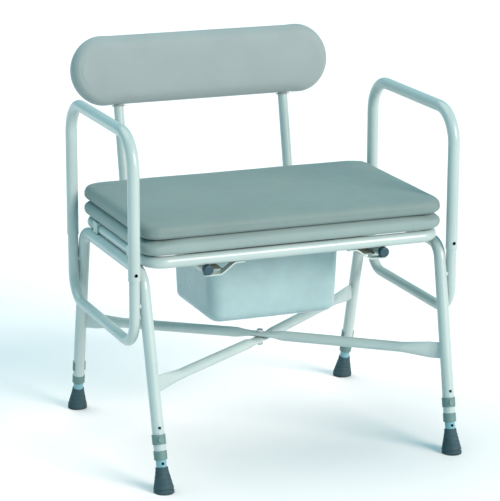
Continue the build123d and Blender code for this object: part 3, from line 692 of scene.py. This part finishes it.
COLLAR_R = 0.0013
COLLAR_Y = -BACK_HALF_H + 0.0012
COLLAR_POINTS = 40
reach = SLEEVE_R + COLLAR_R
mouths = [
    [Vector((x + reach * cos(a), COLLAR_Y, POST_Z + reach * sin(a))) for a in circle(COLLAR_POINTS)]
    for x in (-POST_X, POST_X)
]
beads("backrest_mouth_collars", mouths, COLLAR_R)

# ---------------------------------------------------------------- ferrules
# Their section is drawn as (distance up the leg from the floor, radius) from the sole up and down the bore.
SOLE = [(-0.0070, 0.0), (-0.0070, 0.0210), (0.0016, 0.0214)]
BASE_RIM = [
    (0.0022, 0.0216), (0.0042, 0.0216), (0.0050, 0.0199), (0.0064, 0.0199),
    (0.0072, 0.0214), (0.0096, 0.0213), (0.0108, 0.0206), (0.0120, 0.0205),
]
GROOVE = [(0.0, 0.0), (0.0006, -0.0007), (0.0018, -0.0009), (0.0024, -0.0005)]
GROOVES = 3
GROOVE_START = (0.0178, 0.0193)
GROOVE_STEP = (0.0084, -0.0018)
NECK = [(0.0446, 0.0136), (0.0452, 0.0132), (0.0460, 0.0134), (0.0510, 0.0130), (0.0520, 0.0122)]
BORE = [(0.0520, 0.01115), (0.0050, 0.01115), (0.0050, 0.0)]
FERRULE_AROUND = 64
FLOOR_CUT = 0.0001

grooves = [
    (GROOVE_START[0] + step * GROOVE_STEP[0] + up, GROOVE_START[1] + step * GROOVE_STEP[1] + out)
    for step in range(GROOVES)
    for up, out in GROOVE
]
ferrule_profile = SOLE + BASE_RIM + grooves + NECK + BORE
joint_axis = {joint["name"]: Vector(joint["axis"]) for joint in joints}
for mount in frame["record"]["mounts"]:
    corner = mount["name"].removeprefix("foot_")
    foot = Vector(mount["pos_m"])
    leg_axis = -joint_axis[f"leg_extend_{corner}"].normalized()
    turn = leg_axis.to_track_quat("Z", "Y").to_matrix().to_4x4()
    builder = bmesh.new()
    loops = []
    for up, radius in ferrule_profile:
        angles = circle(FERRULE_AROUND) if radius else [0.0]
        loops.append([builder.verts.new((radius * cos(a), radius * sin(a), up)) for a in angles])
    for lower, upper in zip(loops, loops[1:]):
        if len(lower) == len(upper):
            bridge(builder, lower, upper)
            continue
        tip, rim = (lower[0], upper) if len(lower) == 1 else (upper[0], lower)
        for k in range(FERRULE_AROUND):
            builder.faces.new((tip, rim[k], rim[(k + 1) % FERRULE_AROUND]))
    builder.transform(Matrix.Translation(foot) @ turn)
    cut_flat(builder, (0, 0, FLOOR_CUT), clear_inner=True)
    bmesh.ops.recalc_face_normals(builder, faces=builder.faces)
    ferrule = new_object(f"foot_{corner}_ferrule", builder)
    give(ferrule, ferrule_rubber, f"foot_{corner}")
    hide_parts(f"ferrule_{corner}")

# ---------------------------------------------------------------- arm springs
# Each spring is a bent strip cut at its bend: its rear leaf stays against the tube, and its front leaf is
# left where it is built.
LEAF_CUTS = 14
SAME_POINT = 0.000005
CREST = 0.0003
LEAF_ROOT = 0.003  # a point this far below the spring's top, worked out below but not used


def spring_leaf(side, front):
    """One leaf of a spring: the strip's mesh in front of its bend, or behind it."""
    leaf = bmesh.new()
    leaf.from_mesh(nodes[f"arm_spring_{side}"].data)
    bmesh.ops.remove_doubles(leaf, verts=leaf.verts, dist=SAME_POINT)
    top = max(vertex.co.z for vertex in leaf.verts)
    crest = [vertex.co.y for vertex in leaf.verts if vertex.co.z > top - CREST]
    bend = (0, sum(crest) / len(crest), 0)
    cut_flat(leaf, bend, (0, 1, 0), clear_outer=front, clear_inner=not front)
    bottom = min(vertex.co.z for vertex in leaf.verts)
    for step in range(1, LEAF_CUTS):
        cut_flat(leaf, (0, 0, bottom + (top - bottom) * step / LEAF_CUTS))
    bmesh.ops.recalc_face_normals(leaf, faces=leaf.faces)
    return new_object(f"arm_leaf_{'front' if front else 'rear'}_{side}", leaf, smooth=False)


for joint in joints:
    if not joint["name"].startswith("arm_button_"):
        continue
    side = joint["child"].removeprefix("arm_button_")
    low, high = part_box(f"arm_spring_{side}")
    button_low, button_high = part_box(joint["child"])
    give(spring_leaf(side, front=False), blued, joint["parent"])
    giving = give(spring_leaf(side, front=True), blued)
    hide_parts(f"arm_spring_{side}")
    middle = (low + high) / 2
    start = (middle.x, middle.y, high.z - LEAF_ROOT)
    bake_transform(giving)

# ---------------------------------------------------------------- floor, light and camera
FLOOR_HALF = 90
floor_mesh = bmesh.new()
bmesh.ops.create_grid(floor_mesh, x_segments=1, y_segments=1, size=FLOOR_HALF)
floor = new_object("floor", floor_mesh, smooth=False)
floor_look = Nodes("pale_floor", (0.98, 0.93, 0.92, 1), 0.9)
floor_look.vary_colour(floor_look.noise(0.5, 2), dark=0.99, light=1.01)
give(floor, floor_look.material)

world = bpy.data.worlds.new("studio")
bpy.context.scene.world = world
world.use_nodes = True
sky = world.node_tree.nodes["Background"]
sky.inputs["Color"].default_value = (0.24, 0.82, 1.0, 1)
sky.inputs["Strength"].default_value = 0.55

LAMP_DISTANCE = 3
LIGHTS = [
    # name, azimuth and elevation it comes from in degrees, softness in degrees, strength, colour
    ("key", 30, 25, 30, 3.5, (1.0, 0.82, 0.74)),
    ("back_fill", 205, 64, 60, 1.75, (1.0, 0.88, 0.82)),
]
for name, azimuth, elevation, softness, strength, colour in LIGHTS:
    data = bpy.data.lights.new(name, "SUN")
    data.angle = radians(softness)
    data.energy = strength
    data.color = colour
    lamp = bpy.data.objects.new(name, data)
    around, up = radians(azimuth), radians(elevation)
    towards = Vector((sin(around) * cos(up), -cos(around) * cos(up), sin(up)))
    lamp.rotation_euler = towards.to_track_quat("Z", "Y").to_euler()
    lamp.location = towards * LAMP_DISTANCE
    bpy.context.scene.collection.objects.link(lamp)

AZIMUTH = radians(-21.789)
ELEVATION = radians(14.898)
ROLL = radians(0.162)
DISTANCE = 5.1378
LENS = 170.55
SENSOR = 36
TARGET_X = -0.023636
TARGET_Z = 0.411254
frame_low, frame_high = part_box("side_frame_left")
middle_y = (frame_low.y + frame_high.y) / 2
target = Vector((TARGET_X, middle_y, TARGET_Z))
back = Vector((sin(AZIMUTH) * cos(ELEVATION), -cos(AZIMUTH) * cos(ELEVATION), sin(ELEVATION)))
camera_data = bpy.data.cameras.new("camera")
camera_data.lens = LENS
camera_data.sensor_width = SENSOR
camera_data.clip_end = 100
camera = bpy.data.objects.new("camera", camera_data)
turn = (-back).to_track_quat("-Z", "Y").to_matrix().to_4x4() @ Matrix.Rotation(ROLL, 4, "Z")
camera.matrix_world = Matrix.Translation(target + back * DISTANCE) @ turn
bpy.context.scene.collection.objects.link(camera)
bpy.context.scene.camera = camera
bpy.context.scene.view_settings.view_transform = "Standard"
